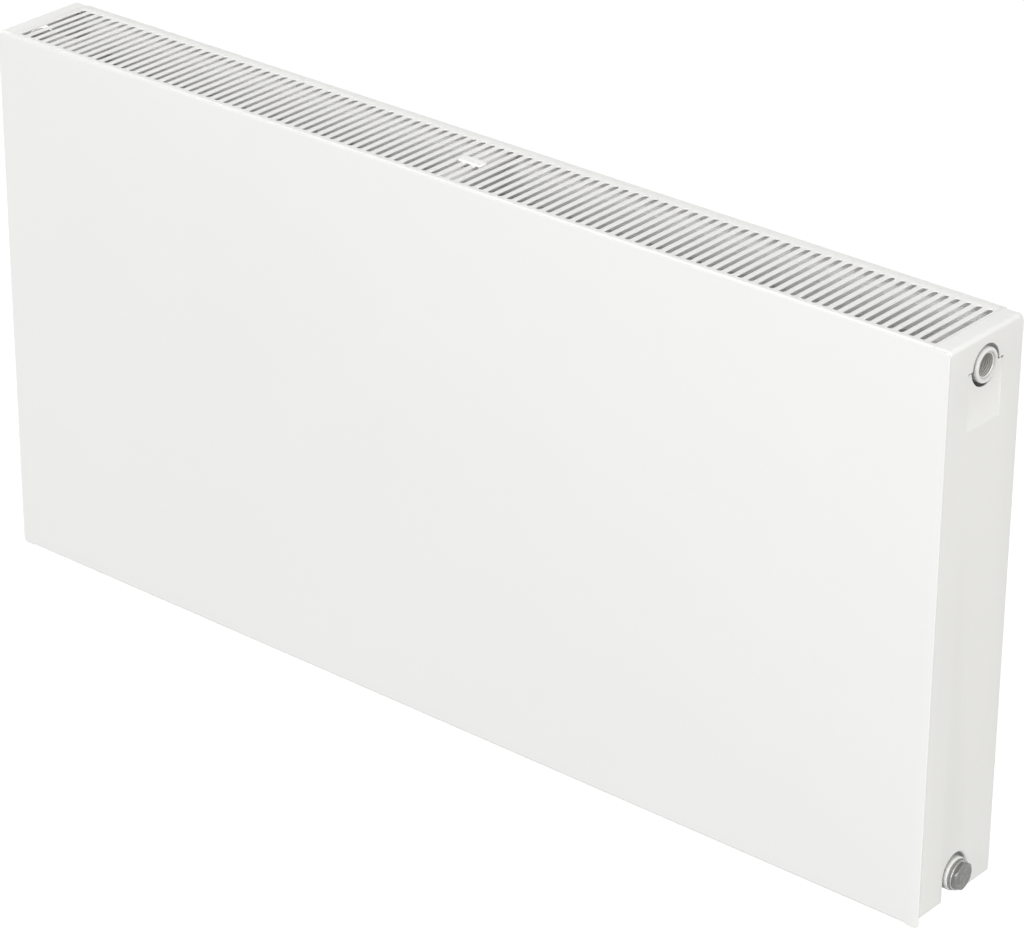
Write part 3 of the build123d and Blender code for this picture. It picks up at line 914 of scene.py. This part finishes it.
# At the front bottom corner the rim's round is wider than the front fold's, so its points are merged.
pick("VERT", lambda v: (
    near(v.co.z, low.z) and v.co.y < low.y + corner_reach and v.co.x > high.x - corner_reach
))
bpy.ops.mesh.remove_doubles(threshold=corner_merge)
for lip_x, low_z, high_z in (
    (high.x - rim_lip, low.z - edge_margin, notch_z + notch_radius + rim_margin),
    (high.x - dent_depth - hole_lip, hole_foot_z, high.z),
):
    pick("FACE", lambda f: wall_face(f) and low_z < middle(f).z < high_z)
    score("x", lip_x)
    pick("FACE", lambda f: wall_face(f) and low_z < middle(f).z < high_z and middle(f).x < lip_x)
    bpy.ops.mesh.delete(type="FACE")
pick("FACE", lambda f: f.normal.x < -0.9 or (wall_face(f) and middle(f).z > hole_foot_z))
bpy.ops.mesh.delete(type="FACE")
end_edit()
put_modifier(cover, "SOLIDIFY", thickness=cover_sheet, offset=-1, use_even_offset=True)

tab_middles = (tab_from_end, high.z - tab_from_end)
start_edit(cover)
for tab_z in tab_middles:
    for edge_z in (tab_z - tab_half_height, tab_z + tab_half_height):
        pick("FACE", flange_edge)
        score("z", edge_z)
pick("FACE", lambda f: flange_edge(f) and any(near(middle(f).z, z, tab_half_height) for z in tab_middles))
extrude(-tab_reach, 0, 0)
end_edit()
soften(cover, cover_soft_round)

cover_paint = painted_steel("cover_paint", cover_white, cover_thin_white, 0.36, dust=0.04, lump=0.0012)
add_bump(cover_paint, noise(cover_paint.node_tree, draw_wave, 2.0), draw_wave_depth)
left_cover = copy_to(cover, "left_end_cover", mirror_x=True)
finish_piece(cover, cover_paint, "right_side_cover", body="right_side_cover")
finish_piece(left_cover, cover_paint, "left_side_cover", body="left_side_cover")

# ---------------- top grille
# Millimetre sheet, slotted in one stroke of a long tool, then folded down front and back with lips that rest
# on the seams. The warm air of the whole radiator leaves through it. It lifts off once the clip is out.
grille_sheet = 0.001
fold_round = 0.0014
grille_lip_front = 0.0107
grille_lip_rear = 0.0117
rail_step = 0.0008
rail_step_from_rear = 0.0060
rail_step_round = 0.0006
slot_pitch = 0.009955
slot_width = 0.0054
slot_length = 0.0771
slot_round = 0.0024
slot_rim_round = 0.00028
slot_from_plate = 0.0064
slot_count = 97
last_slot_from_end = 0.0046
punch_height = 0.006
lip_notch_half = 0.013  # cut out of the lips where the strap passes
lip_notch_clear = 0.0007
grille_white = (0.90, 0.90, 0.885, 1)
grille_thin_white = (0.86, 0.86, 0.835, 1)


def drag_edge(y, z, *moves):
    """Extrude the long edge at one place step by step, as the folds follow each other in the tool."""
    for move_y, move_z in moves:
        pick("EDGE", lambda e: lies_at(e, "y", y, 0.00005) and lies_at(e, "z", z, 0.00005))
        extrude(0, move_y, move_z)
        y += move_y
        z += move_z


low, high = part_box("top_grille")
step_y = high.y - rail_step_from_rear - rail_step
grille = sheet("air_grille", (high.x - low.x, step_y - low.y), (0, (low.y + step_y) / 2, high.z))
start_edit(grille)
drag_edge(low.y, high.z, (0, low.z - high.z), (grille_lip_front, 0))
drag_edge(
    step_y, high.z, (2 * rail_step, -rail_step), (high.y - step_y - 2 * rail_step, 0),
    (0, low.z - high.z + rail_step), (-grille_lip_rear, 0),
)
round_edges(lambda e: fold_angle(e) > 60, fold_round, 4)
round_edges(
    lambda e: 20 < fold_angle(e) < 40 and near(middle(e).z, high.z, 0.001) and middle(e).y > 0.03,
    rail_step_round, 2,
)
end_edit()
put_modifier(grille, "SOLIDIFY", thickness=grille_sheet, offset=-1, use_even_offset=True)

slot_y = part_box("front_cover_plate")[0].y + slot_from_plate
slots = block(
    "slots", (slot_width, slot_length, punch_height),
    (high.x - last_slot_from_end, slot_y + slot_length / 2, high.z),
)
start_edit(slots)
round_edges(lambda e: rise(e) > 0.001, slot_round, 4)
end_edit()
put_modifier(
    slots, "ARRAY", count=slot_count, use_relative_offset=False, use_constant_offset=True,
    constant_offset_displace=(-slot_pitch, 0, 0),
)
clip_low, clip_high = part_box("grille_clip")
clip_x = (clip_low.x + clip_high.x) / 2
lip_cut = block(
    "lip_cut", (2 * lip_notch_half, strap_high.y - strap_low.y + 2 * lip_notch_clear, punch_height),
    (clip_x, (strap_low.y + strap_high.y) / 2, low.z),
)
combine(grille, "DIFFERENCE", slots, lip_cut)
soften(grille, slot_rim_round)

grille_paint = painted_steel("grille_paint", grille_white, grille_thin_white, 0.37, dust=0.1, lump=0.0011)
finish_piece(grille, grille_paint, "top_grille", body="top_grille")

# ---------------- clip
# Moulded white plastic: a flat head that bears on two bars of the grille, slightly dished within its rim,
# and a split leg with a barb that closes up as it goes through the strap's hole and springs open below.
clip_round = 0.0016
clip_top_round = 0.0006
clip_soft_round = 0.00015
clip_rim = 0.0012
clip_dish = 0.00018
clip_head_thickness = 0.002
leg_half_width = 0.0024
leg_depth = 0.0045
leg_gap = 0.0012
leg_gap_share = 0.8  # of the leg's length
leg_overlap = 0.0004  # up into the head
barb_low = 0.0022
barb_high = 0.0034
clip_white = (0.93, 0.93, 0.922, 1)
clip_shade_white = (0.90, 0.90, 0.885, 1)

head_low_z = clip_high.z - clip_head_thickness
leg_length = head_low_z - clip_low.z
leg_y = clip_high.y - leg_depth / 2
clip = block(
    "snap_clip", (clip_high.x - clip_low.x, clip_high.y - clip_low.y, clip_head_thickness),
    (clip_x, (clip_low.y + clip_high.y) / 2, clip_high.z - clip_head_thickness / 2),
)
start_edit(clip)
round_edges(lambda e: rise(e) > 0.001, clip_round, 5)
round_edges(lambda e: lies_at(e, "z", clip_high.z), clip_top_round, 3)
pick("FACE", lambda f: f.normal.z > 0.99)
bpy.ops.mesh.inset(thickness=clip_rim)
bpy.ops.transform.translate(value=(0, 0, -clip_dish))
end_edit()

leg = block(
    "leg", (2 * leg_half_width, leg_depth, leg_length + leg_overlap),
    (clip_x, leg_y, (clip_low.z + head_low_z + leg_overlap) / 2),
)
slit = block("slit", (leg_gap, 2 * leg_depth, 2 * leg_length * leg_gap_share), (clip_x, leg_y, clip_low.z))
combine(leg, "DIFFERENCE", slit)
start_edit(leg)
for barb in (barb_low, barb_high):
    pick_all()
    score("z", clip_low.z + barb)
pick("VERT", lambda v: v.co.z < clip_low.z + 0.0001)
bpy.ops.transform.resize(value=(0.7, 0.75, 1), center_override=(clip_x, leg_y, clip_low.z))
pick("VERT", lambda v: v.co.z > clip_low.z + (barb_low + barb_high) / 2)
bpy.ops.transform.resize(value=(0.82, 0.85, 1), center_override=(clip_x, leg_y, clip_high.z))
end_edit()
combine(clip, "UNION", leg)
soften(clip, clip_soft_round)

plastic = grained("moulded_plastic", 0.006, 3.0, clip_white, clip_shade_white, 0.3, 0.2)[0]
add_bump(plastic, noise(plastic.node_tree, 0.0005, 2.0), 0.00001)
finish_piece(clip, plastic, "grille_clip", body="grille_clip", slot="white_plastic")

# ---------------- seals
# Flat rings of hard grey fibre, cut from sheet, one under the blanking plug and one under the vent.
# Each is squeezed between its socket's face and the plug's flange, which rounds its edges.
seal_round = 0.00025
fibre_depth = 0.00012
fibre_dark = (0.2, 0.2, 0.195, 1)
fibre_light = (0.4, 0.4, 0.385, 1)

seals = cad_copy("fibre_seals", "plug_seals")
soften(seals, seal_round)
fibre, strands = grained("seal_fibre", 0.0007, 6.0, fibre_dark, fibre_light, 0.6, 0.3)
add_bump(fibre, strands, fibre_depth)
finish_piece(seals, fibre, "plug_seals", slot="seal_fibre")

# ---------------- blanking plug
# Brass, turned from hexagon bar and nickel-plated, screwed into the bottom right port against its seal.
# The tool leaves fine rings on its faces. The flange is painted lighter as a painted highlight, and the
# hexagon head darker as painted shade, with random tarnish on it.
plug_flange_radius = 0.0128
plug_spigot_radius = 0.0103
plug_flange = 0.0020
plug_head = 0.0035
plug_half_flats = 0.0110
plug_end_radius = 0.0106
plug_chamfer = 0.0011
plug_spigot_round = 0.0010
plug_flange_round = 0.0004
plug_soft_round = 0.00018
hexagon_sink = 0.0006  # into the flange
ring_scale = 700
ring_wander = 1.5
ring_depth = 0.00001
# Painted highlight on the flange and painted shade on the head, not tones of the plating itself.
flange_painted_highlight_grey = (0.46, 0.46, 0.447, 1)
head_painted_shade_grey = (0.26, 0.26, 0.252, 1)
head_shade_and_wear_grey = (0.20, 0.197, 0.19, 1)

low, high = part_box("blanking_plug")
head_x = high.x - plug_head
seat_x = head_x - plug_flange
plug = turned_about_x("hexagon_plug", plug_flange_radius, seat_x, head_x, low_port_z, punch_sides)
start_edit(plug)
pick_end(seat_x)
inset(plug_flange_radius - plug_spigot_radius)
extrude(low.x - seat_x, 0, 0)
round_edges(lambda e: lies_at(e, "x", low.x), plug_spigot_round, 2)
round_edges(
    lambda e: off_axis(middle(e), low_port_z) > plug_flange_radius - 0.0002 and fold_angle(e) > 60,
    plug_flange_round, 3,
)
end_edit()

hexagon = turned_about_x(
    "hexagon", plug_half_flats / math.cos(math.pi / 6), head_x - hexagon_sink, high.x, low_port_z, 6
)
start_edit(hexagon)
pick_all()
bpy.ops.transform.rotate(value=math.pi / 6, orient_axis="X", center_override=(high.x, port_y, low_port_z))
end_edit()
end_x = high.x - plug_chamfer
turning = turned_about_x("turning", plug_flange_radius, seat_x, end_x, low_port_z, punch_sides)
start_edit(turning)
pick_end(end_x)
inset(plug_flange_radius - plug_end_radius)
bpy.ops.transform.translate(value=(plug_chamfer, 0, 0))
end_edit()
combine(hexagon, "INTERSECT", turning)
combine(plug, "UNION", hexagon)
soften(plug, plug_soft_round, 2, 25)


def plated(name, axis_z):
    """Nickel plate over turning rings about the port's axis; a painted highlight on the flange and painted
    shade on the head, outwards of the flange.
    """
    material, tree, shader = new_material(name)
    centred = tree.nodes.new("ShaderNodeMapping")
    set_inputs(centred, Location=(0, -port_y, -axis_z), Vector=object_place(tree))
    rings = tree.nodes.new("ShaderNodeTexWave")
    rings.wave_type = "RINGS"
    rings.rings_direction = "X"
    set_inputs(rings, Scale=ring_scale, Distortion=ring_wander, Vector=centred.outputs["Vector"])
    tarnish = ramp(tree, noise(tree, 0.004, 5.0), 0.35, 0.75)
    out_x = calc(tree, "ABSOLUTE", split(tree, centred.outputs["Vector"])["X"])
    # Painted highlight and shade: the flange is lighter and the head outwards of it is darker.
    head = ramp(tree, out_x, head_x - 0.0001, head_x + 0.0002)
    colour = blend_colour(tree, head, flange_painted_highlight_grey, blend_colour(tree, tarnish, head_painted_shade_grey, head_shade_and_wear_grey))
    roughness = calc(tree, "MULTIPLY_ADD", tarnish, 0.22, 0.3)
    set_inputs(shader, Base_Color=colour, Roughness=roughness, Metallic=1.0)
    add_bump(material, rings.outputs["Fac"], ring_depth)
    return material


finish_piece(plug, plated("nickel_plate", low_port_z), "blanking_plug", slot="nickel")

# ---------------- air vent
# In the top left port: a plated plug with a hexagon flange, a key screw in its well,
# and a plastic ring with a spout that turns to point the escaping water away.
ring_sides = 60
ring_round = 0.0003
ring_soft_round = 0.00012
rib_edge = 0.0001
rib_depth = 0.0003
vent_soft_round = 0.0002
spout_radius = 0.0015
spout_bore = 0.0008
spout_bore_depth = 0.004
vent_neck_clear = 0.00658

vent_metal = plated("vent_nickel_plate", high_port_z)
for name, node, body in (
    ("vent_plug", "vent_plug_body", "radiator_body"), ("vent_key_screw", "vent_screw", "vent_screw")
):
    fitted = cad_copy(name, node)
    soften(fitted, vent_soft_round, 2, 30)
    finish_piece(fitted, vent_metal, node, body=body, slot="nickel")


def rib_gap(face):
    """Every other long side of the ring's rim."""
    spot = middle(face)
    turn = math.degrees(math.atan2(spot.z - high_port_z, spot.y - port_y)) % 360
    return near(face.normal.x, 0, 0.05) and int(turn / (360 / ring_sides)) % 2 == 0


low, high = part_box("vent_nozzle")
ring_radius = (high.y - low.y) / 2
spout_ring = turned_about_x("vent_spout_ring", ring_radius, low.x, high.x, high_port_z, ring_sides)
start_edit(spout_ring)
round_edges(lambda e: fold_angle(e) > 60, ring_round, 2)
pick("FACE", rib_gap)
bpy.ops.mesh.inset(thickness=rib_edge, depth=-rib_depth, use_individual=True)
end_edit()
spout_middle = ((low.x + high.x) / 2, port_y, low.z + ring_radius / 2)
spout = bar("spout", spout_radius, ring_radius, spout_middle, (0, 0, 0), 32)
start_edit(spout)
pick("FACE", lambda f: f.normal.z < -0.9)
inset(spout_radius - spout_bore)
extrude(0, 0, spout_bore_depth)
end_edit()
bore = turned_about_x("bore", vent_neck_clear, low.x - edge_margin, high.x + edge_margin, high_port_z, 48)
combine(spout_ring, "UNION", spout)
combine(spout_ring, "DIFFERENCE", bore)
soften(spout_ring, ring_soft_round, 2, 40)
finish_piece(spout_ring, plastic, "vent_nozzle", body="vent_nozzle", slot="white_plastic")

# ---------------- camera, floor and light
# A studio with a pale floor and white all round, seen through one long lens from the right and above.
# A broad soft light stands in front, a weaker warm one at the right end, and one low behind.
key_strength = 1.665
side_strength = 1.42
back_strength = 1.45
lamp_spread = 40  # degrees
room_level = 0.53
floor_grey = 0.18
floor_glow = 0.87
floor_drop = 0.5  # under the object, which hangs on its wall
lens = 150.5
camera_place = Vector((2.0705, -2.4270, 1.8402))
camera_turn = 0.696736
camera_tip = 0.468867
camera_roll = 0.00607948

camera_data = bpy.data.cameras.new("camera")
camera_data.sensor_fit = "HORIZONTAL"
camera_data.lens = lens
camera_data.clip_end = 50
camera = new_object("camera", camera_data)
camera.matrix_world = (
    Matrix.Translation(camera_place)
    @ Matrix.Rotation(camera_turn, 4, "Z")
    @ Matrix.Rotation(math.pi / 2 - camera_tip, 4, "X")
    @ Matrix.Rotation(camera_roll, 4, "Z")
)
bpy.context.scene.camera = camera


def seen_directly(tree, *rays):
    """1 for these kinds of ray, 0 for all others."""
    path = tree.nodes.new("ShaderNodeLightPath")
    total = path.outputs[rays[0]]
    for ray in rays[1:]:
        total = calc(tree, "ADD", total, path.outputs[ray], clamp=True)
    return total


clear_selection()
bpy.ops.mesh.primitive_plane_add(size=12, location=(0, 0, -floor_drop))
floor = bpy.context.object
floor.name = "floor"
floor_material, tree, shader = new_material("floor")
glow = calc(tree, "MULTIPLY", seen_directly(tree, "Is Camera Ray", "Is Glossy Ray"), floor_glow)
set_inputs(shader, Base_Color=(floor_grey, floor_grey, floor_grey, 1), Roughness=0.9)
set_inputs(shader, Emission_Color=(1, 1, 1, 1), Emission_Strength=glow)
floor.data.materials.append(floor_material)

world = bpy.data.worlds.new("studio")
bpy.context.scene.world = world
world.use_nodes = True
tree = world.node_tree
direct = seen_directly(tree, "Is Camera Ray", "Is Glossy Ray", "Is Transmission Ray")
level = calc(tree, "MULTIPLY_ADD", direct, 1 - room_level, room_level)
set_inputs(tree.nodes["Background"], Color=(1, 1, 1, 1), Strength=level)


def soft_light(name, towards, strength, colour=(1, 1, 1)):
    """A broad even light that comes from one direction, as from a large diffuser far away."""
    data = bpy.data.lights.new(name, "SUN")
    data.angle = math.radians(lamp_spread)
    data.energy = strength
    data.color = colour
    lamp = new_object(name, data)
    lamp.location = Vector(towards) * 5
    lamp.rotation_euler = (-Vector(towards)).to_track_quat("-Z", "Y").to_euler()
    return lamp


soft_light("key_light", (-0.05, -0.94, 0.34), key_strength)
soft_light("side_light", (0.94, -0.17, 0.30), side_strength, (1.0, 0.99, 0.965))
back_light = soft_light("back_light", (-0.75, 0.65, 0.12), back_strength)
back_light.visible_glossy = False  # it would glare on the top from in front

bpy.context.scene.view_settings.view_transform = "Standard"
